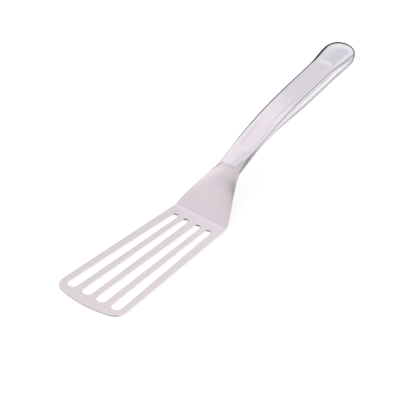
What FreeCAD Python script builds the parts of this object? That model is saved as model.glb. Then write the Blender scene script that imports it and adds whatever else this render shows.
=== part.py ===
import FreeCAD, Part
import math
import os

# Fish spatula: a slotted sheet head welded into a hollow handle of two pressed shells.
# Millimetres. The origin is on the blade's underside, in the middle of the heel line, where the
# flat blade ends and the bend starts. +X runs to the blade's front edge, +Z is up.

# Sheet head: blade
sheet_thickness = 1.5
blade_length = 153.7
heel_width = 57.6
front_width = 73.4
front_edge_radius = 102.0
front_corner_radius = 11.5

# Sheet head: the four slots, two mirrored pairs that widen towards the front
slot_heel_margin = 8.0
slot_front_margin = 11.1
slot_heel_width = 6.4
slot_front_width = 10.1
inner_slot_heel_offset = 6.8
inner_slot_front_offset = 7.9
outer_slot_heel_offset = 18.5
outer_slot_front_offset = 24.6

# Sheet head: bend, shoulder, neck and tang
bend_radius = 5.0
shoulder_angle = 40.7
shoulder_length = 25.8
neck_arc_radius = 79.0
neck_end_length = 3.2
neck_width = 23.2
neck_crown = 2.2
neck_edge_roll = 3.4
heel_blend = 10.0
neck_blend = 5.0
tang_width = 16.0
tang_end_gap = 1.0

# Hollow handle: its side view
handle_front_angle = 25.1
handle_front_length = 12.0
handle_arc_radius = 297.0
grip_angle = 9.9
grip_length = 65.2

# Hollow handle: its widths and depths, measured from the seam between the two shells
mouth_width = 24.5
grip_width = 24.8
butt_width = 29.8
swell_length = 26.0
flare_length = 28.5
grip_top_height = 3.2
butt_top_height = 4.2
mouth_depth = 2.0
grip_depth = 13.3
butt_depth = 10.1
deepening_length = 101.0
land_crown = 0.3
mouth_roll = 3.0
grip_roll = 3.2
butt_roll = 9.0
mouth_fullness = 0.65
grip_fullness = 0.865
wall = 0.8
tang_clearance = 0.1

# Pressed recess in the top shell
recess_start = 23.2
recess_end_margin = 21.5
recess_front_width = 9.0
recess_back_width = 14.0
recess_depth = 0.6
recess_edge_run = 1.6

# Welds
seam_gap = 0.4
neck_weld_length = 1.6
neck_weld_slope = 0.45

# Number of cross-sections in each lofted stretch
bend_stations = 5
shoulder_stations = 13
tang_stations = 3
handle_stations = 21
recess_stations = 13

# Curve constants: where the control points of a quarter ellipse stand, as a share of its half axes,
# how high a cubic bow rises, as a share of its control points' height, and where these stand, as a
# share of its width, when it is bowed evenly
quarter_ellipse = 0.5523
bow_rise = 0.75
even_bow = 1.0 / 3.0

half_sheet = sheet_thickness / 2.0

# The spine is the side view's centre line, from the heel line to the middle of the butt's round
# end. It follows the middle of the sheet, and then the seam of the handle. Each segment is its
# length and the angle that it turns by, in radians.
shoulder_turn = math.radians(shoulder_angle)
neck_turn = math.radians(handle_front_angle - shoulder_angle)
handle_turn = math.radians(grip_angle - handle_front_angle)
bend_segment = ((bend_radius + half_sheet) * shoulder_turn, shoulder_turn)
shoulder_segment = (shoulder_length, 0.0)
neck_segment = (neck_arc_radius * abs(neck_turn), neck_turn)
neck_end_segment = (neck_end_length, 0.0)
handle_front_segment = (handle_front_length, 0.0)
handle_arc_segment = (handle_arc_radius * abs(handle_turn), handle_turn)
grip_segment = (grip_length, 0.0)
spine_segments = [
    bend_segment,
    shoulder_segment,
    neck_segment,
    neck_end_segment,
    handle_front_segment,
    handle_arc_segment,
    grip_segment,
]
bend_end = bend_segment[0]
mouth = bend_end + shoulder_segment[0] + neck_segment[0] + neck_end_segment[0]
butt_centre = mouth + handle_front_segment[0] + handle_arc_segment[0] + grip_segment[0]
mouth_top_height = neck_crown + half_sheet + tang_clearance + wall
recess_front_end = mouth + recess_start - recess_front_width / 2.0 - recess_edge_run
tang_end = recess_front_end - tang_end_gap


def spine_point(distance):
    """The spine's x, z and rise angle at a distance from the heel line."""
    x, z, angle = 0.0, half_sheet, 0.0
    left = distance
    for number, (length, turn) in enumerate(spine_segments):
        last = number == len(spine_segments) - 1
        step = left if last else min(left, length)
        if turn:
            curvature = turn / length
            new_angle = angle + curvature * step
            x -= (math.sin(new_angle) - math.sin(angle)) / curvature
            z += (math.cos(angle) - math.cos(new_angle)) / curvature
            angle = new_angle
        else:
            x -= step * math.cos(angle)
            z += step * math.sin(angle)
        left -= step
        if left <= 0.0:
            break
    return x, z, angle


def place(distance, across, height):
    """A point of the cross-section at a distance along the spine."""
    x, z, angle = spine_point(distance)
    return FreeCAD.Vector(x + height * math.sin(angle), across, z + height * math.cos(angle))


def upward(distance):
    """The direction square to the spine, in the side view."""
    return place(distance, 0.0, 1.0) - place(distance, 0.0, 0.0)


def stations(start, end, count):
    return [start + (end - start) * number / (count - 1) for number in range(count)]


def ease(share):
    """0 to 1, level at both ends."""
    share = min(max(share, 0.0), 1.0)
    return share * share * (3.0 - 2.0 * share)


def bezier(*points):
    curve = Part.BezierCurve()
    curve.setPoles(list(points))
    return curve.toShape()


def line(start, end):
    return Part.LineSegment(start, end).toShape()


def loft(wires):
    return Part.makeLoft(wires, True, False)


# Blade


def blade_half_width(x):
    return (heel_width + (front_width - heel_width) * x / blade_length) / 2.0


def blade_plate():
    """The flat blade with straight flaring sides, a bowed front edge and round front corners."""
    taper = (front_width - heel_width) / 2.0 / blade_length
    arc_centre = blade_length - front_edge_radius
    half_heel = heel_width / 2.0
    square = 1.0 + taper ** 2
    linear = taper * half_heel - arc_centre
    constant = arc_centre ** 2 + half_heel ** 2 - front_edge_radius ** 2
    corner_x = (-linear + math.sqrt(linear ** 2 - square * constant)) / square
    corner_y = blade_half_width(corner_x)
    heel_right = FreeCAD.Vector(0, -half_heel, 0)
    heel_left = FreeCAD.Vector(0, half_heel, 0)
    corner_right = FreeCAD.Vector(corner_x, -corner_y, 0)
    corner_left = FreeCAD.Vector(corner_x, corner_y, 0)
    middle = FreeCAD.Vector(blade_length, 0, 0)
    outline = Part.Wire([
        line(heel_right, corner_right),
        Part.Arc(corner_right, middle, corner_left).toShape(),
        line(corner_left, heel_left),
        line(heel_left, heel_right),
    ])
    plate = Part.Face(outline).extrude(FreeCAD.Vector(0, 0, sheet_thickness))
    corners = []
    for edge in plate.Edges:
        upright = edge.BoundBox.ZLength > half_sheet
        if upright and edge.BoundBox.XMin > blade_length / 2.0:
            corners.append(edge)
    return plate.makeFillet(front_corner_radius, corners)


def slot(heel_offset, front_offset):
    """A round-ended slot that widens from the heel to the front."""
    heel_radius = slot_heel_width / 2.0
    front_radius = slot_front_width / 2.0
    heel = FreeCAD.Vector(slot_heel_margin + heel_radius, heel_offset, 0)
    front = FreeCAD.Vector(blade_length - slot_front_margin - front_radius, front_offset, 0)
    axis = front - heel
    heading = math.atan2(axis.y, axis.x)
    side = math.pi / 2.0 + math.asin((front_radius - heel_radius) / axis.Length)

    def rim(centre, radius, turn):
        angle = heading + turn
        return centre + FreeCAD.Vector(radius * math.cos(angle), radius * math.sin(angle), 0)

    outline = Part.Wire([
        Part.Arc(
            rim(heel, heel_radius, side),
            rim(heel, heel_radius, math.pi),
            rim(heel, heel_radius, -side),
        ).toShape(),
        line(rim(heel, heel_radius, -side), rim(front, front_radius, -side)),
        Part.Arc(
            rim(front, front_radius, -side),
            rim(front, front_radius, 0.0),
            rim(front, front_radius, side),
        ).toShape(),
        line(rim(front, front_radius, side), rim(heel, heel_radius, side)),
    ])
    return Part.Face(outline).extrude(FreeCAD.Vector(0, 0, sheet_thickness))


# Shoulder, neck and tang


def shoulder_half_width(distance):
    """Half the sheet's width from the heel line to the mouth: a straight taper, blended at both ends."""
    heel_slope = (front_width - heel_width) / 2.0 / blade_length
    drop = (heel_width - neck_width) / 2.0 - heel_slope * heel_blend / 2.0
    slope = drop / (mouth - heel_blend / 2.0 - neck_blend / 2.0)
    blend_start = mouth - neck_blend
    half_width = heel_width / 2.0
    in_heel = min(distance, heel_blend)
    half_width -= heel_slope * in_heel + (slope - heel_slope) * in_heel ** 2 / (2.0 * heel_blend)
    in_taper = min(max(distance - heel_blend, 0.0), blend_start - heel_blend)
    half_width -= slope * in_taper
    in_neck = min(max(distance - blend_start, 0.0), neck_blend)
    half_width -= slope * (in_neck - in_neck ** 2 / (2.0 * neck_blend))
    return half_width


def forming(distance):
    """0 up to the end of the bend, where the sheet is flat across, and 1 at the mouth."""
    return ease((distance - bend_end) / (mouth - bend_end))


def sheet_section(distance):
    """The sheet's cross-section: flat at the bend, crowned with rolled edges at the mouth."""
    half_width = shoulder_half_width(distance)
    even_handle = even_bow * 2.0 * half_width
    edge_handle = even_handle + (neck_edge_roll - even_handle) * forming(distance)
    control_height = neck_crown * forming(distance) / bow_rise

    def bow(offset):
        return [
            place(distance, -half_width, offset),
            place(distance, edge_handle - half_width, control_height + offset),
            place(distance, half_width - edge_handle, control_height + offset),
            place(distance, half_width, offset),
        ]

    top = bow(half_sheet)
    low = bow(-half_sheet)
    return Part.Wire([
        bezier(*top),
        line(top[-1], low[-1]),
        bezier(*reversed(low)),
        line(low[0], top[0]),
    ])


def tang():
    """The neck carried on into the handle, cut down to the tang's width."""
    full = loft([sheet_section(s) for s in stations(mouth, tang_end, tang_stations)])
    box = full.BoundBox
    corner = FreeCAD.Vector(box.XMin, -tang_width / 2.0, box.ZMin)
    return full.common(Part.makeBox(box.XLength, tang_width, box.ZLength, corner))


def slotted_blade():
    blade = blade_plate()
    for mirror in (-1, 1):
        blade = blade.cut(slot(mirror * inner_slot_heel_offset, mirror * inner_slot_front_offset))
        blade = blade.cut(slot(mirror * outer_slot_heel_offset, mirror * outer_slot_front_offset))
    bend = loft([sheet_section(s) for s in stations(0.0, bend_end, bend_stations)])
    shoulder = loft([sheet_section(s) for s in stations(bend_end, mouth, shoulder_stations)])
    return blade.fuse([bend, shoulder, tang()])


# Hollow handle


def flaring(distance):
    """0 along the grip, 1 at the middle of the butt's round end."""
    return ease((distance - butt_centre + flare_length) / flare_length)


def along_handle(distance, at_mouth, at_grip, at_butt):
    """A size that eases from the mouth's value to the grip's, and then flares to the butt's."""
    swell = ease((distance - mouth) / swell_length)
    return at_mouth + (at_grip - at_mouth) * swell + (at_butt - at_grip) * flaring(distance)


def deepening(distance):
    """0 at the mouth, 1 where the handle has reached its full depth."""
    return ease((distance - mouth) / deepening_length)


def handle_top(distance):
    top = mouth_top_height + (grip_top_height - mouth_top_height) * deepening(distance)
    return top + (butt_top_height - grip_top_height) * flaring(distance)


def handle_depth(distance):
    depth = mouth_depth + (grip_depth - mouth_depth) * deepening(distance)
    return depth + (butt_depth - grip_depth) * flaring(distance)


def handle_curves(distance, inset):
    """The handle's right roll, top land and right belly, drawn in by the inset all round."""
    half_width = along_handle(distance, mouth_width, grip_width, butt_width) / 2.0 - inset
    roll = along_handle(distance, mouth_roll, grip_roll, butt_roll) - inset
    land_half = half_width - roll
    land_edge = handle_top(distance) - land_crown - inset
    roll_handle = quarter_ellipse * roll
    roll_drop = roll_handle * 2.0 * land_crown / land_half
    fullness = mouth_fullness + (grip_fullness - mouth_fullness) * deepening(distance)
    low = inset - handle_depth(distance)
    right_roll = [
        (half_width, 0.0),
        (half_width, quarter_ellipse * land_edge),
        (land_half + roll_handle, land_edge - roll_drop),
        (land_half, land_edge),
    ]
    land = [(land_half, land_edge), (0.0, land_edge + 2.0 * land_crown), (-land_half, land_edge)]
    right_belly = [
        (0.0, low),
        (fullness * half_width, low),
        (half_width, fullness * low),
        (half_width, 0.0),
    ]
    return right_roll, land, right_belly


def section_curve(distance, points):
    return bezier(*[place(distance, across, height) for across, height in points])


def mirrored(points):
    return [(-across, height) for across, height in reversed(points)]


def handle_section(distance, inset):
    right_roll, land, right_belly = handle_curves(distance, inset)
    outline = [right_roll, land, mirrored(right_roll), mirrored(right_belly), right_belly]
    return Part.Wire([section_curve(distance, points) for points in outline])


def round_end(distance, outline, half_turn):
    """Half of a cross-section turned about the upright through the spine: a round end."""
    face = Part.Face(Part.Wire(outline))
    return face.revolve(place(distance, 0.0, 0.0), upward(distance), half_turn)


def handle_body(start, inset):
    """The solid inside the handle's outer skin, or inside its inner skin when inset by the wall."""
    grip = loft([handle_section(s, inset) for s in stations(start, butt_centre, handle_stations)])
    right_roll, land, right_belly = handle_curves(butt_centre, inset)
    crest = land[0][1] + land_crown
    half_land = [land[0], (land[0][0] / 2.0, crest), (0.0, crest)]
    upright = [half_land[-1], right_belly[0]]
    outline = [right_roll, half_land, upright, right_belly]
    edges = [section_curve(butt_centre, points) for points in outline]
    return grip.fuse(round_end(butt_centre, edges, 180.0))


def recess_form(sink):
    """The pressed recess, a long tapering trough with sloped sides and round ends, sunk deeper by sink."""
    start = mouth + recess_start
    end = butt_centre - recess_end_margin
    rise = 2.0 * recess_depth + sink
    slope_run = recess_edge_run * rise / recess_depth

    def floor(distance):
        return handle_top(distance) - recess_depth - sink

    def corners(distance, side):
        share = (distance - start) / (end - start)
        floor_half = (recess_front_width + (recess_back_width - recess_front_width) * share) / 2.0
        return [
            place(distance, side * floor_half, floor(distance)),
            place(distance, side * (floor_half + slope_run), floor(distance) + rise),
        ]

    def section(distance):
        return Part.makePolygon(
            corners(distance, -1) + corners(distance, 1)[::-1] + corners(distance, -1)[:1]
        )

    def end_outline(distance):
        low, high = corners(distance, 1)
        middle_high = place(distance, 0.0, floor(distance) + rise)
        middle_low = place(distance, 0.0, floor(distance))
        return Part.makePolygon([low, high, middle_high, middle_low, low]).Edges

    trough = loft([section(s) for s in stations(start, end, recess_stations)])
    front_end = round_end(start, end_outline(start), -180.0)
    back_end = round_end(end, end_outline(end), 180.0)
    return trough.fuse([front_end, back_end])


def spine_strip(low, high):
    """A slab across the handle, between two heights above the spine, longer than the handle."""
    overrun = butt_width
    strip_start = mouth - neck_weld_length
    arc_start = mouth + handle_front_length
    arc_end = butt_centre - grip_length
    strip_end = butt_centre + overrun

    def side(distance, height):
        return place(distance, -overrun, height)

    edges = []
    for height in (low, high):
        arc_middle = side((arc_start + arc_end) / 2.0, height)
        edges.append(Part.Arc(side(arc_start, height), arc_middle, side(arc_end, height)).toShape())
        for start, end in ((strip_start, arc_start), (arc_end, strip_end)):
            edges.append(line(side(start, height), side(end, height)))
    for distance in (strip_start, strip_end):
        edges.append(line(side(distance, low), side(distance, high)))
    outline = Part.Wire(Part.__sortEdges__(edges))
    return Part.Face(outline).extrude(FreeCAD.Vector(0, 2.0 * overrun, 0))


def handle_pieces():
    """The two pressed shells and the weld between them."""
    outer = handle_body(mouth, 0.0).cut(recess_form(0.0))
    cavity = handle_body(mouth, wall).cut(recess_form(wall))
    skin = outer.cut(cavity)
    half_gap = seam_gap / 2.0
    reach = 2.0 * (grip_top_height + grip_depth)
    top_shell = skin.common(spine_strip(half_gap, reach))
    bottom_shell = skin.common(spine_strip(-reach, -half_gap))
    seam_weld = skin.common(spine_strip(-half_gap, half_gap))
    return top_shell, bottom_shell, seam_weld


def neck_weld(head):
    """The collar of weld that closes the handle's mouth round the neck."""
    front_section = handle_section(mouth - neck_weld_length, neck_weld_slope)
    return loft([front_section, handle_section(mouth, 0.0)]).cut(head)


def save(name, shape):
    print(name, len(shape.Solids), "solid", round(shape.Volume, 1), "mm3", shape.isValid())
    shape.exportStep(os.path.join("parts", name + ".step"))


os.makedirs("parts", exist_ok=True)
head = slotted_blade()
top_shell, bottom_shell, seam_weld = handle_pieces()
save("slotted_blade", head)
save("handle_top_shell", top_shell)
save("handle_bottom_shell", bottom_shell)
save("handle_seam_weld", seam_weld)
save("neck_weld", neck_weld(head))
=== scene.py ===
import math

import bmesh
import bpy
from mathutils import Matrix, Vector
from mathutils.geometry import delaunay_2d_cdt


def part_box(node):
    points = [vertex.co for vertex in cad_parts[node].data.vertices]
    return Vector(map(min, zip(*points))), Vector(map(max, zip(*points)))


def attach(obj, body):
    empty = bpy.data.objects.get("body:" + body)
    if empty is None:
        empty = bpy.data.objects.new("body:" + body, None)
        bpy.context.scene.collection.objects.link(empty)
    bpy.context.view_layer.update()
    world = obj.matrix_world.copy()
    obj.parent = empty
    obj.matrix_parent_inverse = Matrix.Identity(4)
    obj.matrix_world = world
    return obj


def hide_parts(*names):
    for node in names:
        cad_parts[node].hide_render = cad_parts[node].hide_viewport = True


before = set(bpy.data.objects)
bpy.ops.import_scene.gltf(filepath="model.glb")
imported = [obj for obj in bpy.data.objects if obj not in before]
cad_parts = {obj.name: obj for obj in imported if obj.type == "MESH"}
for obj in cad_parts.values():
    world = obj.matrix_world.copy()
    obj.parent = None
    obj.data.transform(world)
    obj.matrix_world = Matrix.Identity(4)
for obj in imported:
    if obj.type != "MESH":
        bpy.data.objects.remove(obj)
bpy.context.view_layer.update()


# Slotted head: one stainless sheet, with the flat blade and its four tapered slots, the sharp bend at the
# heel, and the shoulder that narrows and rises to the crowned neck. Blanked, deburred, bent in a press and
# belt finished along its length; its tang goes on into the handle, where it is welded.

# The front is +X and the left is +Y, as for someone who holds the handle.
mm = 0.001
half_sheet = 0.75 * mm
edge_round = 0.35 * mm
blade_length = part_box("slotted_blade")[1].x
heel_width = 57.6 * mm
front_width = 73.4 * mm
front_edge_radius = 102.0 * mm
front_corner_radius = 11.5 * mm

# Each slot's distance from the middle line is given at its heel end and at its front end.
slot_heel_x = 8.0 * mm
slot_front_x = blade_length - 11.1 * mm
slot_heel_radius = 3.2 * mm
slot_front_radius = 5.05 * mm
inner_slot_offsets = 6.8 * mm, 7.9 * mm
outer_slot_offsets = 18.5 * mm, 24.6 * mm

neck_width = 23.4 * mm
neck_crown = 2.2 * mm
neck_edge_roll = 4.6 * mm
heel_blend = 13.0 * mm
neck_blend = 7.0 * mm
tang_width = 16.0 * mm
tang_length = 10.0 * mm
tang_step = 2.6 * mm
tang_flattening = 0.35

# The side view's centre line, from the heel line back to the butt: how far each stretch runs and turns.
bend_turn = math.radians(40.7)
neck_turn = math.radians(-15.6)
handle_turn = math.radians(-15.45)
bend_radius, neck_radius, handle_radius = 5.75 * mm, 79.0 * mm, 297.0 * mm
bend_run = bend_radius * bend_turn
shoulder_run = 25.8 * mm
neck_run = -neck_radius * neck_turn
neck_end_run = 3.2 * mm
front_run = 12.0 * mm
arc_run = -handle_radius * handle_turn
grip_run = 65.2 * mm
spine_stretches = (
    (bend_run, bend_turn),
    (shoulder_run, 0.0),
    (neck_run, neck_turn),
    (neck_end_run, 0.0),
    (front_run, 0.0),
    (arc_run, handle_turn),
    (grip_run, 0.0),
)
mouth = bend_run + shoulder_run + neck_run + neck_end_run
butt_centre = mouth + front_run + arc_run + grip_run


def spine(run):
    """The centre line's x, z and rise at a distance behind the heel line."""
    x, z, rise = 0.0, half_sheet, 0.0
    for length, turn in spine_stretches:
        step = min(run, length)
        if turn:
            bent = rise + turn * step / length
            x -= (math.sin(bent) - math.sin(rise)) * length / turn
            z += (math.cos(rise) - math.cos(bent)) * length / turn
            rise = bent
        else:
            x -= step * math.cos(rise)
            z += step * math.sin(rise)
        run -= step
    return x, z, rise


def place(run, across, height):
    """A point of the cross-section at a distance along the centre line."""
    x, z, rise = spine(run)
    return Vector((x + height * math.sin(rise), across, z + height * math.cos(rise)))


def ease(share):
    """0 to 1, level at both ends."""
    share = min(max(share, 0.0), 1.0)
    return share * share * (3.0 - 2.0 * share)


def spread(start, end, count):
    """Evenly spaced values, with both ends."""
    return [start + (end - start) * number / (count - 1) for number in range(count)]


def bezier(points, share):
    """A point of the curve with these control points."""
    points = [Vector(point) for point in points]
    while len(points) > 1:
        points = [a.lerp(b, share) for a, b in zip(points, points[1:])]
    return points[0]


def neck_half_width(run):
    """Half the sheet's width from the heel line to the mouth: a straight taper, blended at both ends."""
    heel_slope = (front_width - heel_width) / 2.0 / blade_length
    drop = (heel_width - neck_width) / 2.0 - heel_slope * heel_blend / 2.0
    slope = drop / (mouth - heel_blend / 2.0 - neck_blend / 2.0)
    in_heel = min(run, heel_blend)
    in_taper = min(max(run - heel_blend, 0.0), mouth - neck_blend - heel_blend)
    in_neck = min(max(run - mouth + neck_blend, 0.0), neck_blend)
    width = heel_width / 2.0
    width -= heel_slope * in_heel + (slope - heel_slope) * in_heel ** 2 / (2.0 * heel_blend)
    return width - slope * in_taper - slope * (in_neck - in_neck ** 2 / (2.0 * neck_blend))


def bow(run, half_width, rise):
    """The control points of the sheet's cross-section, flat at the bend and crowned at the mouth."""
    rise_share = 0.75  # the curve's middle rises by this share of its two inner points
    formed = ease((run - bend_run) / (mouth - bend_run))
    even = half_width * 2.0 / 3.0
    inner = half_width - even - (min(neck_edge_roll, even) - even) * formed
    high = rise * formed / rise_share
    return (-half_width, 0.0), (-inner, high), (inner, high), (half_width, 0.0)


def sheet_middle(run, share):
    """The sheet's middle surface behind the heel line; share goes from its right edge to its left."""
    narrowed = ease((run - mouth + tang_step) / tang_step)
    half_width = neck_half_width(run)
    half_width += (tang_width / 2.0 - half_width) * narrowed - edge_round
    rise = neck_crown * (1.0 - tang_flattening * narrowed)
    across, height = bezier(bow(run, half_width, rise), share)
    return place(run, across, height)


def sheet_frame(run, share):
    """A point of the middle surface, the direction across it and its upward normal."""
    step = 1e-5
    point = sheet_middle(run, share)
    across = sheet_middle(run, min(share + step, 1.0)) - sheet_middle(run, max(share - step, 0.0))
    across.normalize()
    if run > 0.0:
        along = (sheet_middle(run + step, share) - sheet_middle(run - step, share)).normalized()
        up = across.cross(along)
    else:
        up = Vector((0.0, 0.0, 1.0))
    return point, across, up.normalized()


def arc(centre, radius, start, end, count, facing=1.0):
    """Points of an arc, each with the direction out of the metal there."""
    points = []
    for angle in spread(start, end, count):
        ray = Vector((math.cos(angle), math.sin(angle)))
        points.append((Vector(centre) + radius * ray, facing * ray))
    return points


def blade_outline():
    """The blade's left side, front and right side, seen from above, each point with its outward direction."""
    corner_points, front_points = 14, 33
    taper = (front_width - heel_width) / 2.0 / blade_length
    tilt = math.atan(taper)
    front_centre = blade_length - front_edge_radius
    inner_side = heel_width / 2.0 - front_corner_radius / math.cos(tilt)
    reach = front_edge_radius - front_corner_radius
    square = 1.0 + taper ** 2
    half_slope = taper * inner_side - front_centre
    constant = front_centre ** 2 + inner_side ** 2 - reach ** 2
    corner_x = (-half_slope + math.sqrt(half_slope ** 2 - square * constant)) / square
    corner_y = inner_side + taper * corner_x
    side_angle = math.pi / 2.0 + tilt
    front_angle = math.atan2(corner_y, corner_x - front_centre)
    left = arc((corner_x, corner_y), front_corner_radius, side_angle, front_angle, corner_points)
    front = arc((front_centre, 0.0), front_edge_radius, front_angle, -front_angle, front_points)
    right = arc((corner_x, -corner_y), front_corner_radius, -front_angle, -side_angle, corner_points)
    return left + front[1:-1] + right


def slot_outline(heel_offset, front_offset):
    """One round-ended slot that widens towards the front."""
    end_points = 25
    heel = Vector((slot_heel_x + slot_heel_radius, heel_offset))
    front = Vector((slot_front_x - slot_front_radius, front_offset))
    axis = front - heel
    heading = math.atan2(axis.y, axis.x)
    side = math.pi / 2.0 + math.asin((slot_front_radius - slot_heel_radius) / axis.length)
    far_side = 2.0 * math.pi - side
    heel_end = arc(heel, slot_heel_radius, heading + side, heading + far_side, end_points, -1.0)
    front_end = arc(front, slot_front_radius, heading - side, heading + side, end_points, -1.0)
    return heel_end + front_end


def sheet_mesh():
    """The whole sheet: top, underside and rounded edges, as one closed mesh."""
    columns, bend_rows, shoulder_rows, step_rows = 24, 11, 30, 9
    step_start = mouth - tang_step
    runs = spread(0.0, bend_run, bend_rows) + spread(bend_run, step_start, shoulder_rows)[1:]
    runs += spread(step_start, mouth, step_rows)[1:] + [mouth + tang_length / 2.0, mouth + tang_length]
    shares = spread(0.0, 1.0, columns + 1)
    mesh = bmesh.new()
    corner = [math.radians(angle) for angle in (22.5, 45.0, 67.5, 90.0)]
    wall = [(turn, 1.0) for turn in corner] + [(turn, -1.0) for turn in reversed(corner)]

    def skins(point, up):
        """A vertex of the top and one of the underside."""
        return mesh.verts.new(point + up * half_sheet), mesh.verts.new(point - up * half_sheet)

    def edge_ring(top, low, point, out, up):
        """The vertices round the sheet's edge, from its top to its underside."""
        ring = [top]
        for turn, side in wall:
            height = half_sheet - edge_round + edge_round * math.cos(turn)
            ring.append(mesh.verts.new(point + out * edge_round * math.sin(turn) + up * side * height))
        return ring + [low]

    def close_edge(rings):
        """The faces between each ring of an edge and the next, all the way round."""
        for ring, following in zip(rings, rings[1:] + rings[:1]):
            for here in range(len(ring) - 1):
                mesh.faces.new((ring[here], ring[here + 1], following[here + 1], following[here]))

    # The formed part, from the heel line back to the tang's end.
    grid = []
    for run in runs:
        row = []
        for share in shares:
            point, across, up = sheet_frame(run, share)
            row.append((*skins(point, up), point, across, up))
        grid.append(row)
    for row, following in zip(grid, grid[1:]):
        for here in range(columns):
            for skin in (0, 1):
                mesh.faces.new((
                    row[here][skin], row[here + 1][skin], following[here + 1][skin], following[here][skin]
                ))

    # The edge all round the sheet: forward along the left, round the blade, back along the right.
    upright = Vector((0.0, 0.0, 1.0))
    flat, rings = [], []

    def flat_ring(spot_out):
        """The edge's vertices at a spot of the flat blade's outline."""
        spot, out = spot_out
        point = Vector((*(spot - out * edge_round), half_sheet))
        top, low = skins(point, upright)
        flat.append((top, low))
        return edge_ring(top, low, point, Vector((*out, 0.0)), upright)

    heel_row = grid[0]
    flat.extend((cell[0], cell[1]) for cell in heel_row)
    for row in reversed(grid[1:]):
        top, low, point, across, up = row[-1]
        rings.append(edge_ring(top, low, point, across, up))
    taper_out = Vector((-(front_width - heel_width) / 2.0, blade_length, 0.0)).normalized()
    top, low, point, _, up = heel_row[-1]
    rings.append(edge_ring(top, low, point, taper_out, up))
    rings += [flat_ring(spot_out) for spot_out in blade_outline()]
    loops = [list(range(len(flat)))]
    taper_out.y = -taper_out.y
    top, low, point, _, up = heel_row[0]
    rings.append(edge_ring(top, low, point, taper_out, up))
    for row in grid[1:]:
        top, low, point, across, up = row[0]
        rings.append(edge_ring(top, low, point, -across, up))
    behind = (grid[-1][0][2] - grid[-2][0][2]).normalized()
    for top, low, point, _, up in grid[-1][1:-1]:
        rings.append(edge_ring(top, low, point, behind, up))
    close_edge(rings)

    # The slots, and the flat faces between them and the blade's outline.
    for heel_offset, front_offset in (inner_slot_offsets, outer_slot_offsets):
        for mirror in (1.0, -1.0):
            start = len(flat)
            outline = slot_outline(mirror * heel_offset, mirror * front_offset)
            close_edge([flat_ring(spot_out) for spot_out in outline])
            loops.append(list(range(start, len(flat))))
    spots = [Vector(top.co.xy) for top, _ in flat]
    bounds = [(loop[n - 1], loop[n]) for loop in loops for n in range(len(loop))]
    inside_only, same_spot = 1, 1e-9
    filled = delaunay_2d_cdt(spots, bounds, [], inside_only, same_spot)
    triangles, origins = filled[2], filled[3]
    slots = [set(loop) for loop in loops[1:]]
    for triangle in triangles:
        corners = [origins[vertex][0] for vertex in triangle]
        if any(slot.issuperset(corners) for slot in slots):
            continue
        for skin in (0, 1):
            mesh.faces.new([flat[vertex][skin] for vertex in corners])
    return mesh


def finished(name, mesh, node, material):
    """A piece, smooth but for its crisp edges, that stands for a node of the frame and rides with it."""
    crisp_turn = math.radians(35.0)
    bmesh.ops.recalc_face_normals(mesh, faces=mesh.faces)
    for face in mesh.faces:
        face.smooth = True
    for edge in mesh.edges:
        edge.smooth = edge.calc_face_angle(0.0) < crisp_turn
    data = bpy.data.meshes.new(name)
    mesh.to_mesh(data)
    mesh.free()
    data.materials.append(material)
    piece = bpy.data.objects.new(name, data)
    bpy.context.scene.collection.objects.link(piece)
    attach(piece, "root")
    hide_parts(node)
    return piece


def linear(hex_colour):
    """An sRGB hex colour as linear RGBA."""
    parts = [int(hex_colour[at:at + 2], 16) / 255.0 for at in (1, 3, 5)]
    return [p / 12.92 if p <= 0.04045 else ((p + 0.055) / 1.055) ** 2.4 for p in parts] + [1.0]


def add(tree, kind, settings, links):
    """A node of this kind; links hold a value or another node's socket for each input.

    Mix nodes go by number: colours are inputs 6 and 7 and output 2, values inputs 2 and 3 and output 0.
    """
    node = tree.nodes.new(kind)
    for name, value in settings.items():
        setattr(node, name, value)
    for name, value in links.items():
        if isinstance(value, bpy.types.NodeSocket):
            tree.links.new(value, node.inputs[name])
        else:
            node.inputs[name].default_value = value
    return node


def new_metal(name):
    """A material with a metal shader: the material, its tree, its shader and its coordinates."""
    material = bpy.data.materials.new(name)
    material.use_nodes = True
    tree = material.node_tree
    shader = tree.nodes["Principled BSDF"]
    shader.inputs["Metallic"].default_value = 1.0
    return material, tree, shader, add(tree, "ShaderNodeTexCoord", {}, {})


# Belt-finished stainless steel: a soft pale sheen with a hint of warm pink, drawn out in faint
# streaks along the length. Upright faces turned to the front, the slots' heel-end walls and the blade's
# front edge, carry a dark painted shade, half as strong near the front edge. The neck is painted a little
# darker as shade just before the handle's mouth.
# Real belt scratches are about 0.05 mm apart; they are drawn at 0.7 mm so that they show.
satin_steel, tree, shader, coordinates = new_metal("belt_finished_stainless")
streak_across = 0.7 * mm
streak_along = 45.0 * mm
streak_depth = 0.05 * mm
cloud_size = 25.0 * mm
mouth_shade_reach = 10.0 * mm
mouth_x = place(mouth, 0.0, 0.0).x
shade_halving_from = slot_front_x - 12.0 * mm
shade_halved_at = slot_front_x - 6.0 * mm
noise_span = {"From Min": 0.3, "From Max": 0.7}  # where most of a noise texture's values lie
streak_place = add(tree, "ShaderNodeMapping", {}, {
    "Vector": coordinates.outputs["Object"],
    "Scale": (1.0 / streak_along, 1.0 / streak_across, 1.0 / streak_along),
})
streaks = add(tree, "ShaderNodeTexNoise", {}, {
    "Vector": streak_place.outputs["Vector"], "Scale": 1.0, "Detail": 3.0, "Roughness": 0.6,
})
clouds = add(tree, "ShaderNodeTexNoise", {}, {
    "Vector": coordinates.outputs["Object"], "Scale": 1.0 / cloud_size, "Detail": 2.0,
})
streak_colour = add(tree, "ShaderNodeMix", {"data_type": "RGBA"}, {
    0: streaks.outputs["Fac"], 6: linear("#F4EBF0"), 7: linear("#F6EDF2"),
})
cloud_share = add(tree, "ShaderNodeMapRange", {}, {
    "Value": clouds.outputs["Fac"], **noise_span, "To Min": 0.0, "To Max": 0.35,
})
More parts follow.
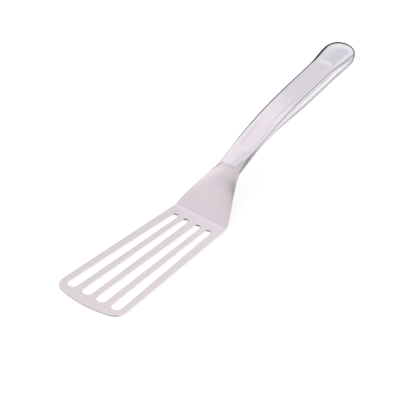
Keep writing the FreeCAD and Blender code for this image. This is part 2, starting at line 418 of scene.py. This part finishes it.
sheet_colour = add(tree, "ShaderNodeMix", {"data_type": "RGBA"}, {
    0: cloud_share.outputs["Result"], 6: streak_colour.outputs[2], 7: linear("#F1E9EF"),
})
sheet_place = add(tree, "ShaderNodeSeparateXYZ", {}, {"Vector": coordinates.outputs["Object"]})
# Painted shade: the neck is drawn darker over its last stretch before the handle's mouth, and the collar with
# it.
painted_mouth_shade = add(tree, "ShaderNodeMapRange", {"interpolation_type": "SMOOTHSTEP"}, {
    "Value": sheet_place.outputs["X"], "From Min": mouth_x + mouth_shade_reach, "From Max": mouth_x,
    "To Min": 0.0, "To Max": 1.0,
})
mouth_shaded_colour = add(tree, "ShaderNodeMix", {"data_type": "RGBA"}, {
    0: painted_mouth_shade.outputs["Result"], 6: sheet_colour.outputs[2], 7: linear("#E4DBE0"),
})
facing = add(tree, "ShaderNodeSeparateXYZ", {}, {"Vector": coordinates.outputs["Normal"]})
level = add(tree, "ShaderNodeMath", {"operation": "ABSOLUTE"}, {0: facing.outputs["Z"]})
# Painted shade: upright faces turned to the front, the slots' heel-end walls and the blade's front edge, are
# drawn dark brown-grey, half as dark near the front edge.
upright_face = add(tree, "ShaderNodeMapRange", {"interpolation_type": "SMOOTHSTEP"}, {
    "Value": level.outputs["Value"], "From Min": 0.75, "From Max": 0.3, "To Min": 0.0, "To Max": 1.0,
})
end_face = add(tree, "ShaderNodeMapRange", {"interpolation_type": "SMOOTHSTEP"}, {
    "Value": facing.outputs["X"], "From Min": 0.35, "From Max": 0.75, "To Min": 0.0, "To Max": 1.0,
})
front_facing_wall = add(tree, "ShaderNodeMath", {"operation": "MULTIPLY"}, {
    0: upright_face.outputs["Result"], 1: end_face.outputs["Result"],
})
front_shade_halving = add(tree, "ShaderNodeMapRange", {"interpolation_type": "SMOOTHSTEP"}, {
    "Value": sheet_place.outputs["X"], "From Min": shade_halving_from, "From Max": shade_halved_at,
    "To Min": 1.0, "To Max": 0.5,
})
painted_end_shade = add(tree, "ShaderNodeMath", {"operation": "MULTIPLY"}, {
    0: front_facing_wall.outputs["Value"], 1: front_shade_halving.outputs["Result"],
})
end_shaded_colour = add(tree, "ShaderNodeMix", {"data_type": "RGBA"}, {
    0: painted_end_shade.outputs["Value"], 6: mouth_shaded_colour.outputs[2], 7: linear("#5E4F4C"),
})
sheen = add(tree, "ShaderNodeMapRange", {}, {
    "Value": streaks.outputs["Fac"], **noise_span, "To Min": 0.32, "To Max": 0.34,
})
grooves = add(tree, "ShaderNodeBump", {}, {
    "Height": streaks.outputs["Fac"], "Strength": 0.004, "Distance": streak_depth,
})
tree.links.new(end_shaded_colour.outputs[2], shader.inputs["Base Color"])
tree.links.new(sheen.outputs["Result"], shader.inputs["Roughness"])
tree.links.new(grooves.outputs["Normal"], shader.inputs["Normal"])

head = finished("slotted_head", sheet_mesh(), "slotted_blade", satin_steel)
even_shading = head.modifiers.new("even_shading", "WEIGHTED_NORMAL")
even_shading.weight = 100


# Top shell: the upper half of the hollow handle, of stainless sheet pressed to a low crown with rolled
# edges, a long round-ended recess and a round butt, then buffed. The recess keeps the satin of the press.

wall_thickness = 0.8 * mm
seam_half = 0.2 * mm
mouth_width, grip_width, butt_width = 24.2 * mm, 24.8 * mm, 30.2 * mm
mouth_roll, grip_roll, butt_roll = 5.5 * mm, 3.2 * mm, 9.0 * mm
mouth_edge, grip_edge, butt_edge = 2.2 * mm, 2.9 * mm, 3.4 * mm
mouth_crown, grip_crown = 0.85 * mm, 0.3 * mm
butt_corner, butt_flat = 0.005, 0.06
swell_run = 26.0 * mm
flare_run = 28.5 * mm
deepening_run = 101.0 * mm
recess_start, recess_end = mouth + 23.2 * mm, butt_centre - 21.5 * mm
recess_front_radius, recess_back_radius = 5.2 * mm, 7.7 * mm
recess_depth = 0.5 * mm
recess_edge = 3.0 * mm
recess_run_out = 8.0 * mm
recess_dish = 0.25
handle_stations = 200
butt_spokes = 61


def flaring(run):
    """0 along the grip, 1 at the middle of the butt's round end."""
    return ease((run - butt_centre + flare_run) / flare_run)


def along_handle(run, at_mouth, at_grip, at_butt):
    """A size that eases from the mouth to the grip, and then flares to the butt."""
    swell = ease((run - mouth) / swell_run)
    return at_mouth + (at_grip - at_mouth) * swell + (at_butt - at_grip) * flaring(run)


def half_width_at(run):
    """Half the handle's width, at its seam."""
    return along_handle(run, mouth_width, grip_width, butt_width) / 2.0


def deepened(run, at_mouth, at_grip, at_butt):
    """A height or depth that eases to the grip's over a longer way, and then to the butt's."""
    deepening = ease((run - mouth) / deepening_run)
    return at_mouth + (at_grip - at_mouth) * deepening + (at_butt - at_grip) * flaring(run)


def upward(run):
    """The direction square to the centre line, in the side view."""
    rise = spine(run)[2]
    return Vector((math.sin(rise), 0.0, math.cos(rise)))


def butt_ray(angle):
    """The direction out of the butt's round end, at this turn from its left side."""
    left = Vector((0.0, 1.0, 0.0))
    behind = upward(butt_centre).cross(left)
    return left * math.cos(angle) + behind * math.sin(angle)


def butt_reach(angle):
    """How far the round end reaches there: a circle, a little fuller at its corners and flatter behind."""
    return 1.0 + butt_corner * math.sin(2.0 * angle) ** 2 - butt_flat * math.sin(angle) ** 4


def recess_share(run, across):
    """1 along the recess's floor, 0 outside it, easing over its pressed edge and out towards the butt."""
    share = min(max((run - recess_start) / (recess_end - recess_start), 0.0), 1.0)
    centre = recess_start + share * (recess_end - recess_start)
    radius = recess_front_radius + share * (recess_back_radius - recess_front_radius)
    from_middle = math.hypot(run - centre, across)
    dish = 1.0 - recess_dish * min(from_middle / radius, 1.0) ** 2
    run_out = ease((recess_end + recess_back_radius - run) / recess_run_out)
    return dish * run_out * ease((radius - from_middle) / recess_edge + 0.5)


def top_profile(run):
    """Half of the top shell's cross-section, from the seam to the middle: across and height."""
    quarter_ellipse = 0.5523  # control points at this share of the half axes draw a quarter of an ellipse
    roll_start, roll_points, land_points = 0.15, 20, 36
    half_width = half_width_at(run)
    roll = along_handle(run, mouth_roll, grip_roll, butt_roll)
    land_half = half_width - roll
    land_crown = along_handle(run, mouth_crown, grip_crown, grip_crown)
    land_edge = deepened(run, mouth_edge, grip_edge, butt_edge)
    crest = land_edge + land_crown
    pull = quarter_ellipse * roll
    drop = pull * 2.0 * land_crown / land_half
    rolled = (
        (half_width, 0.0),
        (half_width, quarter_ellipse * land_edge),
        (land_half + pull, land_edge - drop),
        (land_half, land_edge),
    )
    land = ((land_half, land_edge), (land_half / 2.0, crest), (0.0, crest))
    points = [Vector((half_width, seam_half))]
    points += [bezier(rolled, share) for share in spread(roll_start, 1.0, roll_points)]
    points += [bezier(land, share) for share in spread(0.0, 1.0, land_points)[1:]]
    return points


def shell_mesh(profile, dent):
    """A half shell's outer skin: stations along the handle, then its cross-section turned round the butt."""
    mesh = bmesh.new()
    sunk = mesh.verts.layers.float.new("sunk")
    rows = []
    for run in spread(mouth, butt_centre, handle_stations):
        half = profile(run)
        row = []
        for across, height in half + [(-across, height) for across, height in reversed(half[:-1])]:
            share = dent(run, across)
            vertex = mesh.verts.new(place(run, across, height - recess_depth * share))
            vertex[sunk] = share
            row.append(vertex)
        rows.append(row)
    for row, following in zip(rows, rows[1:]):
        for here in range(len(row) - 1):
            mesh.faces.new((row[here], row[here + 1], following[here + 1], following[here]))
    half = profile(butt_centre)
    count = len(half)
    crest = rows[-1][count - 1]
    centre, up = place(butt_centre, 0.0, 0.0), upward(butt_centre)
    spokes = [rows[-1][:count]]
    for angle in spread(0.0, math.pi, butt_spokes)[1:-1]:
        ray = butt_ray(angle) * butt_reach(angle)
        spoke = [mesh.verts.new(centre + ray * across + up * height) for across, height in half[:-1]]
        spokes.append(spoke + [crest])
    spokes.append(rows[-1][:count - 2:-1])
    for spoke, following in zip(spokes, spokes[1:]):
        for here in range(count - 2):
            mesh.faces.new((spoke[here], spoke[here + 1], following[here + 1], following[here]))
        mesh.faces.new((spoke[-2], crest, following[-2]))
    return mesh


def thicken(mesh, inward):
    """The sheet's thickness: an inner skin, and the rims between the two skins."""
    mesh.normal_update()
    skin = list(mesh.faces)
    rims = [edge.verts[:] for edge in mesh.edges if edge.is_boundary]
    inner = {
        vertex: mesh.verts.new(vertex.co + inward * wall_thickness * vertex.normal)
        for vertex in list(mesh.verts)
    }
    for face in skin:
        mesh.faces.new([inner[vertex] for vertex in reversed(face.verts)])
    for start, end in rims:
        mesh.faces.new((start, end, inner[end], inner[start]))
    return mesh


# Buffed stainless steel: a cool, nearly mirror-bright skin. Buffing leaves a faint haze in clouds and
# the pressing a slight waviness; the recess keeps a softer satin floor, drawn a little warmer as a painted
# warm reflection.
polished_steel, tree, shader, coordinates = new_metal("buffed_stainless")
haze_size = 18.0 * mm
wave_size = 35.0 * mm
wave_depth = 0.3 * mm
recess_roughness = 0.2
haze = add(tree, "ShaderNodeTexNoise", {}, {
    "Vector": coordinates.outputs["Object"], "Scale": 1.0 / haze_size, "Detail": 4.0,
})
waves = add(tree, "ShaderNodeTexNoise", {}, {
    "Vector": coordinates.outputs["Object"], "Scale": 1.0 / wave_size, "Detail": 0.0,
})
sunk_share = add(tree, "ShaderNodeAttribute", {"attribute_name": "sunk"}, {})
skin_colour = add(tree, "ShaderNodeMix", {"data_type": "RGBA"}, {
    0: haze.outputs["Fac"], 6: linear("#EAE5EB"), 7: linear("#EEE9EF"),
})
# Painted warm reflection: the recess's floor is drawn a little warmer than the buffed skin.
recess_colour = add(tree, "ShaderNodeMix", {"data_type": "RGBA"}, {
    0: haze.outputs["Fac"], 6: linear("#EDE5EA"), 7: linear("#F0E8ED"),
})
shell_colour = add(tree, "ShaderNodeMix", {"data_type": "RGBA"}, {
    0: sunk_share.outputs["Fac"], 6: skin_colour.outputs[2], 7: recess_colour.outputs[2],
})
skin_gloss = add(tree, "ShaderNodeMapRange", {}, {
    "Value": haze.outputs["Fac"], **noise_span, "To Min": 0.07, "To Max": 0.13,
})
shell_gloss = add(tree, "ShaderNodeMix", {}, {
    0: sunk_share.outputs["Fac"], 2: skin_gloss.outputs["Result"], 3: recess_roughness,
})
pressed = add(tree, "ShaderNodeBump", {}, {
    "Height": waves.outputs["Fac"], "Strength": 0.15, "Distance": wave_depth,
})
tree.links.new(shell_colour.outputs[2], shader.inputs["Base Color"])
tree.links.new(shell_gloss.outputs[0], shader.inputs["Roughness"])
tree.links.new(pressed.outputs["Normal"], shader.inputs["Normal"])

top_mesh = thicken(shell_mesh(top_profile, recess_share), 1.0)
finished("top_shell", top_mesh, "handle_top_shell", polished_steel)


# Bottom shell: the lower half of the handle, the same sheet pressed into a deep trough with upright sides,
# shallow at the neck and full at the butt. Its sides are buffed with the top shell; where it faces down, its
# belly is softer satin with a dark grey painted shade, standing for the shadowed floor that it reflects.

mouth_depth, grip_depth, butt_depth = 1.2 * mm, 13.3 * mm, 10.1 * mm
mouth_fullness, grip_fullness = 0.55, 0.865


def belly_profile(run):
    """Half of the bottom shell's cross-section, from the seam to the middle: across and height."""
    belly_start, belly_points = 0.08, 30
    half_width = half_width_at(run)
    low = -deepened(run, mouth_depth, grip_depth, butt_depth)
    fullness = deepened(run, mouth_fullness, grip_fullness, grip_fullness)
    belly = (
        (half_width, 0.0),
        (half_width, fullness * low),
        (fullness * half_width, low),
        (0.0, low),
    )
    points = [Vector((half_width, -seam_half))]
    points += [bezier(belly, share) for share in spread(belly_start, 1.0, belly_points)]
    return points


def no_recess(run, across):
    """The belly is plain everywhere."""
    return 0.0


# Buffed stainless steel as on the top shell; the belly below is softer satin, drawn dark grey as a painted
# shade of the shadowed floor that it reflects.
belly_steel, tree, shader, coordinates = new_metal("stainless_with_painted_belly_shade")
belly_roughness = 0.32
haze = add(tree, "ShaderNodeTexNoise", {}, {
    "Vector": coordinates.outputs["Object"], "Scale": 1.0 / haze_size, "Detail": 4.0,
})
facing = add(tree, "ShaderNodeSeparateXYZ", {}, {"Vector": coordinates.outputs["Normal"]})
# Painted shade: where the skin faces down, the belly is drawn dark grey, standing for the shadowed floor that
# it reflects; it is also rougher there.
belly_share = add(tree, "ShaderNodeMapRange", {"interpolation_type": "SMOOTHSTEP"}, {
    "Value": facing.outputs["Z"], "From Min": -0.03, "From Max": -0.16, "To Min": 0.0, "To Max": 1.0,
})
side_colour = add(tree, "ShaderNodeMix", {"data_type": "RGBA"}, {
    0: haze.outputs["Fac"], 6: linear("#EAE8ED"), 7: linear("#F2F0F4"),
})
shaded_belly_colour = add(tree, "ShaderNodeMix", {"data_type": "RGBA"}, {
    0: belly_share.outputs["Result"], 6: side_colour.outputs[2], 7: linear("#B4B2B9"),
})
side_gloss = add(tree, "ShaderNodeMapRange", {}, {
    "Value": haze.outputs["Fac"], **noise_span, "To Min": 0.07, "To Max": 0.13,
})
belly_gloss = add(tree, "ShaderNodeMix", {}, {
    0: belly_share.outputs["Result"], 2: side_gloss.outputs["Result"], 3: belly_roughness,
})
tree.links.new(shaded_belly_colour.outputs[2], shader.inputs["Base Color"])
tree.links.new(belly_gloss.outputs[0], shader.inputs["Roughness"])

bottom_mesh = thicken(shell_mesh(belly_profile, no_recess), -1.0)
finished("bottom_shell", bottom_mesh, "handle_bottom_shell", belly_steel)


# Seam weld: the bead that joins the two shells along both sides and round the butt, fused from outside
# and buffed nearly flush. Heat has left it a brownish straw colour.

bead_height = 0.06 * mm
bead_points = 9


def closed_tube(mesh, rings):
    """The skin over a row of rings, and the faces that close its two ends."""
    for ring, following in zip(rings, rings[1:]):
        for here in range(len(ring)):
            mesh.faces.new((ring[here - 1], ring[here], following[here], following[here - 1]))
    mesh.faces.new(rings[0])
    mesh.faces.new(rings[-1])
    return mesh


def seam_mesh():
    """The bead's section carried along the left side, round the butt and back along the right side."""
    section = [(-wall_thickness, -seam_half), (-wall_thickness, seam_half)]
    section += [
        (bead_height * math.sin(turn), seam_half * math.cos(turn))
        for turn in spread(0.0, math.pi, bead_points)
    ]
    left = Vector((0.0, 1.0, 0.0))
    half_turn = spread(0.0, math.pi, butt_spokes)
    sides = [(run, half_width_at(run)) for run in spread(mouth, butt_centre, handle_stations)[:-1]]
    path = [(run, left, reach) for run, reach in sides]
    path += [(butt_centre, butt_ray(turn), butt_width / 2.0 * butt_reach(turn)) for turn in half_turn]
    path += [(run, -left, reach) for run, reach in reversed(sides)]
    mesh = bmesh.new()
    rings = []
    for run, ray, reach in path:
        middle, up = place(run, 0.0, 0.0), upward(run)
        rings.append([mesh.verts.new(middle + ray * (reach + out) + up * height) for out, height in section])
    return closed_tube(mesh, rings)


# Heat-tinted weld in stainless steel: straw to brown along the grip, buffed back to steel towards
# both ends, with the fine ripples of the bead.
weld_steel, tree, shader, coordinates = new_metal("heat_tinted_weld")
tint_size = 12.0 * mm
tint_centre, tint_reach = -140.0 * mm, 48.0 * mm
ripple_pitch = 0.9 * mm
ripple_depth = 0.05 * mm
band_period = 0.314  # a wave texture's bands lie this far apart at a scale of 1
tint = add(tree, "ShaderNodeTexNoise", {}, {
    "Vector": coordinates.outputs["Object"], "Scale": 1.0 / tint_size, "Detail": 3.0,
})
ripples = add(tree, "ShaderNodeTexWave", {"wave_type": "BANDS", "bands_direction": "X"}, {
    "Vector": coordinates.outputs["Object"], "Scale": band_period / ripple_pitch,
    "Distortion": 1.5, "Detail": 1.0,
})
tint_colour = add(tree, "ShaderNodeMix", {"data_type": "RGBA"}, {
    0: tint.outputs["Fac"], 6: linear("#4E3D34"), 7: linear("#8C766A"),
})
weld_place = add(tree, "ShaderNodeSeparateXYZ", {}, {"Vector": coordinates.outputs["Object"]})
from_grip = add(tree, "ShaderNodeMath", {"operation": "SUBTRACT"}, {
    0: weld_place.outputs["X"], 1: tint_centre,
})
off_grip = add(tree, "ShaderNodeMath", {"operation": "ABSOLUTE"}, {0: from_grip.outputs["Value"]})
tinted = add(tree, "ShaderNodeMapRange", {"interpolation_type": "SMOOTHSTEP"}, {
    "Value": off_grip.outputs["Value"], "From Min": tint_reach, "From Max": 0.5 * tint_reach,
    "To Min": 0.0, "To Max": 1.0,
})
weld_colour = add(tree, "ShaderNodeMix", {"data_type": "RGBA"}, {
    0: tinted.outputs["Result"], 6: linear("#DAD6DB"), 7: tint_colour.outputs[2],
})
weld_ripple = add(tree, "ShaderNodeBump", {}, {
    "Height": ripples.outputs["Fac"], "Strength": 0.3, "Distance": ripple_depth,
})
tree.links.new(weld_colour.outputs[2], shader.inputs["Base Color"])
shader.inputs["Roughness"].default_value = 0.28
tree.links.new(weld_ripple.outputs["Normal"], shader.inputs["Normal"])

finished("seam_weld", seam_mesh(), "handle_seam_weld", weld_steel)


# Neck weld: the collar that closes the handle's mouth round the neck, filled with weld metal, ground to a
# smooth sweep from the sheet up to the shell, and belt finished with the head.

collar_run = 3.0 * mm
collar_dip = 0.06 * mm
collar_rings = 12
collar_points = 40


def along_line(points, shares):
    """Points at these shares of a polyline's length."""
    lengths, slack = [0.0], 1e-12
    for here, following in zip(points, points[1:]):
        lengths.append(lengths[-1] + (following - here).length)
    found = []
    for share in shares:
        reach = share * lengths[-1]
        leg = next(n for n in range(1, len(points)) if lengths[n] >= reach - slack)
        leg_share = (reach - lengths[leg - 1]) / (lengths[leg] - lengths[leg - 1])
        found.append(points[leg - 1].lerp(points[leg], leg_share))
    return found


def sheet_outline(run, side):
    """Half of the neck's cross-section, from its edge to the middle, over its top or its underside."""
    bow_points = 30
    half_width = neck_half_width(run) - collar_dip
    skin = Vector((0.0, side * (half_sheet - collar_dip)))
    curve = bow(run, half_width, neck_crown)
    half_curve = [bezier(curve, share) + skin for share in spread(1.0, 0.5, bow_points)]
    return [Vector((half_width, 0.0))] + half_curve


def collar_mesh():
    """A skin that rises from just inside the sheet's surface to the handle's cross-section."""
    mesh = bmesh.new()
    shares = spread(0.0, 1.0, collar_points)
    seam_point = Vector((mouth_width / 2.0, 0.0))
    top_line = along_line([seam_point] + top_profile(mouth), shares)
    low_line = along_line([seam_point] + belly_profile(mouth), shares)

    def half_ring(run, side, shell_line, climb):
        """Half of a ring, this share of the way from the sheet to the shell."""
        sheet_line = along_line(sheet_outline(run, side), shares)
        return [sheet.lerp(shell, climb) for sheet, shell in zip(sheet_line, shell_line)]

    rings = []
    for share in spread(0.0, 1.0, collar_rings):
        run = mouth - collar_run * (1.0 - share)
        upper = half_ring(run, 1.0, top_line, ease(share))
        lower = half_ring(run, -1.0, low_line, ease(share))
        section = upper + [Vector((-across, height)) for across, height in upper[-2::-1]]
        section += [Vector((-across, height)) for across, height in lower[1:]] + lower[-2:0:-1]
        rings.append([mesh.verts.new(place(run, across, height)) for across, height in section])
    return closed_tube(mesh, rings)


finished("neck_weld_collar", collar_mesh(), "neck_weld", satin_steel)


# Stage: white paper under the object and a white cloth tent over it, evenly lit from outside. The tent's
# darker cloths, out of the frame, draw the soft shades on the satin steel and the dark lines on the rims.

paper_half = 1.6
paper_level = -0.2 * mm
paper_glow = 0.5
grain_size = 2.0 * mm


def stage_piece(name, corners, faces, material):
    """A thing of the studio, which isn't part of the object."""
    data = bpy.data.meshes.new(name)
    data.from_pydata(corners, [], faces)
    data.materials.append(material)
    piece = bpy.data.objects.new(name, data)
    bpy.context.scene.collection.objects.link(piece)
    return piece


# Matt white paper that the camera and the metal see as white, and that still takes the soft shadow.
# Real paper's grain is about 0.2 mm; it is drawn at 2 mm, as a faint mottle.
white_paper = bpy.data.materials.new("white_paper")
white_paper.use_nodes = True
tree = white_paper.node_tree
tree.nodes.clear()
light_path = add(tree, "ShaderNodeLightPath", {}, {})
seen = add(tree, "ShaderNodeMath", {"operation": "MAXIMUM"}, {
    0: light_path.outputs["Is Camera Ray"], 1: light_path.outputs["Is Glossy Ray"],
})
seen_through = add(tree, "ShaderNodeMath", {"operation": "MAXIMUM"}, {
    0: seen.outputs["Value"], 1: light_path.outputs["Is Transmission Ray"],
})
paper_place = add(tree, "ShaderNodeTexCoord", {}, {})
grain = add(tree, "ShaderNodeTexNoise", {}, {
    "Vector": paper_place.outputs["Object"], "Scale": 1.0 / grain_size, "Detail": 2.0,
})
paper_colour = add(tree, "ShaderNodeMix", {"data_type": "RGBA"}, {
    0: grain.outputs["Fac"], 6: linear("#CBCBCB"), 7: linear("#CECECE"),
})
glow_level = add(tree, "ShaderNodeMath", {"operation": "MULTIPLY"}, {
    0: seen_through.outputs["Value"], 1: paper_glow,
})
glow = add(tree, "ShaderNodeEmission", {}, {"Strength": glow_level.outputs["Value"]})
matt = add(tree, "ShaderNodeBsdfDiffuse", {}, {"Color": paper_colour.outputs[2]})
both = add(tree, "ShaderNodeAddShader", {}, {0: glow.outputs["Emission"], 1: matt.outputs["BSDF"]})
add(tree, "ShaderNodeOutputMaterial", {}, {"Surface": both.outputs["Shader"]})
stage_piece("paper", [
    (-paper_half, -paper_half, paper_level),
    (paper_half, -paper_half, paper_level),
    (paper_half, paper_half, paper_level),
    (-paper_half, paper_half, paper_level),
], [(0, 1, 2, 3)], white_paper)


# The tent's cloth only holds light back: black, grey and tinted cloths hang in a white tent, and their
# edges fade into it. Bearings are in degrees from the front (+X) round by the left (+Y).
tent_cloth = bpy.data.materials.new("tent_cloth")
tent_cloth.use_nodes = True
tree = tent_cloth.node_tree
tree.nodes.clear()
cloth_tone = add(tree, "ShaderNodeAttribute", {"attribute_name": "tone"}, {})
cloth = add(tree, "ShaderNodeBsdfTransparent", {}, {"Color": cloth_tone.outputs["Color"]})
add(tree, "ShaderNodeOutputMaterial", {}, {"Surface": cloth.outputs["BSDF"]})


def toward(bearing, elevation):
    """The direction at this bearing and height angle, in degrees."""
    turn, lift = math.radians(bearing), math.radians(elevation)
    return Vector((math.cos(lift) * math.cos(turn), math.cos(lift) * math.sin(turn), math.sin(lift)))


def past(value, start, end):
    """0 up to the start, 1 from the end on, easing between them."""
    return ease((value - start) / (end - start))


def between(value, rise_start, rise_end, fall_start, fall_end):
    """1 from the end of the rise to the start of the fall, easing at both."""
    return past(value, rise_start, rise_end) * (1.0 - past(value, fall_start, fall_end))


# The bearings between which the black cloths fade in, behind the object, and fade out again on the right.
black_stretch = 142.0, 160.0, 244.0, 256.0

# The tent's open side, on the left: grey, darker and taller at the front, and clear of the table behind.
doorway_stretch = 25.0, 50.0, 158.0, 184.0
doorway_front_end = 98.0, 114.0
doorway_foot = 20.0, 34.0
doorway_top, doorway_fade, doorway_front_fade = 58.0, 14.0, 30.0
doorway_held, doorway_front_held = 0.42, 0.56

# The black skirt round the foot of the tent, higher at its right end, and the pale cloth above it.
skirt_top, skirt_peak, skirt_fade = 16.0, 6.0, 14.0
peak_stretch = 222.0, 232.0, 244.0, 256.0
pale_stretch = 214.0, 232.0, 238.0, 256.0
pale_top = 40.0, 52.0
pale_held = 0.215, 0.215, 0.205

# The round cloths: the direction of the middle, the angles from it at which the cloth starts to fade and
# is gone, and the shares of red, green and blue that it holds back.
round_cloths = (
    ((209.0, 49.0), (4.0, 16.0), (0.25, 0.23, 0.18)),  # blue-grey curtain behind the butt
    ((20.0, 64.0), (10.0, 32.0), (0.85, 0.85, 0.85)),  # dark opening overhead, at the front
    ((255.0, 74.0), (6.0, 16.0), (0.12, 0.11, 0.09)),  # fold in the roof
    ((315.0, 50.0), (12.0, 26.0), (0.28, 0.295, 0.275)),  # grey veil at the front right
    ((292.0, 60.0), (6.0, 16.0), (0.11, 0.09, 0.09)),  # thin hatch beside the veil
    ((265.0, 60.0), (0.0, 34.0), (0.0, 0.05, 0.035)),  # warm tint on the right
)


def tent_tone(bearing, elevation):
    """What comes through the tent's cloth from this direction, as linear RGBA."""
    at_front = 1.0 - past(bearing, *doorway_front_end)
    fade = doorway_fade + (doorway_front_fade - doorway_fade) * at_front
    doorway = between(bearing, *doorway_stretch) * (1.0 - past(elevation, doorway_top, doorway_top + fade))
    doorway *= max(at_front, past(elevation, *doorway_foot))
    grey = doorway_held + (doorway_front_held - doorway_held) * at_front
    top = skirt_top + skirt_peak * between(bearing, *peak_stretch)
    skirt = between(bearing, *black_stretch) * (1.0 - past(elevation, top, top + skirt_fade))
    pale = between(bearing, *pale_stretch) * (1.0 - past(elevation, *pale_top))
    cloths = [(doorway, [grey] * 3), (skirt, [1.0] * 3), (pale, pale_held)]
    ray = toward(bearing, elevation)
    for middle, fades, held in round_cloths:
        away = math.degrees(ray.angle(toward(*middle)))
        cloths.append((1.0 - past(away, *fades), held))
    tone = [1.0] * 3
    for share, held in cloths:
        tone = [part * (1.0 - share * stop) for part, stop in zip(tone, held)]
    return tone + [1.0]


def hang(name, corners, rows, tones):
    """A cloth out of the frame, from columns of points, which only the metal's reflections show."""
    columns = len(corners) // rows
    spots = [column * rows + row for column in range(columns - 1) for row in range(rows - 1)]
    piece = stage_piece(name, corners, [(n, n + rows, n + rows + 1, n + 1) for n in spots], tent_cloth)
    tone_layer = piece.data.attributes.new("tone", "FLOAT_COLOR", "POINT")
    tone_layer.data.foreach_set("color", [part for tone in tones for part in tone])
    piece.visible_camera = False
    piece.visible_diffuse = False
    piece.visible_shadow = False


tent_radius = 0.9
tent_columns, tent_rows = 121, 46
directions = [
    (bearing, elevation)
    for bearing in spread(0.0, 360.0, tent_columns)
    for elevation in spread(0.0, 90.0, tent_rows)
]
tent_corners = [tent_radius * toward(*direction) for direction in directions]
hang("tent", tent_corners, tent_rows, [tent_tone(*direction) for direction in directions])

# A black cloth on the table behind and to the right, just outside the frame.
flag_inner, flag_full, flag_level = 0.25, 0.30, 1.0 * mm
flag_start, flag_end = 140.0, 260.0
flag_columns, flag_rows = 41, 9


def flag_tone(bearing, radius):
    """Black, but for its faded edges."""
    dark = between(bearing, *black_stretch) * past(radius, flag_inner, flag_full)
    return [1.0 - dark] * 3 + [1.0]


flag_spots = [
    (bearing, radius)
    for bearing in spread(flag_start, flag_end, flag_columns)
    for radius in spread(flag_inner, tent_radius, flag_rows)
]
flag_lift = Vector((0.0, 0.0, flag_level))
flag_corners = [radius * toward(bearing, 0.0) + flag_lift for bearing, radius in flag_spots]
hang("table_flag", flag_corners, flag_rows, [flag_tone(*spot) for spot in flag_spots])

world = bpy.data.worlds.new("white_tent")
bpy.context.scene.world = world
world.use_nodes = True
world.node_tree.nodes["Background"].inputs["Color"].default_value = (1.0, 1.0, 1.0, 1.0)
world.node_tree.nodes["Background"].inputs["Strength"].default_value = 1.0


# Camera: a long lens about 2.6 m away, in front of the blade and to its left, that looks down on the table
# at about 37 degrees.

aim = Vector((-21.78 * mm, -17.04 * mm, 0.0))
camera_bearing, camera_elevation = 39.866, 37.354
camera_distance = 2.64434
camera_roll = math.radians(-0.179)
back = toward(camera_bearing, camera_elevation)
lens = bpy.data.cameras.new("camera")
lens.lens = 270.0
lens.sensor_width = 36.0
camera = bpy.data.objects.new("camera", lens)
bpy.context.scene.collection.objects.link(camera)
turned = (-back).to_track_quat("-Z", "Y").to_matrix() @ Matrix.Rotation(camera_roll, 3, "Z")
camera.matrix_world = Matrix.Translation(aim + back * camera_distance) @ turned.to_4x4()
bpy.context.scene.camera = camera
bpy.context.scene.view_settings.view_transform = "Standard"
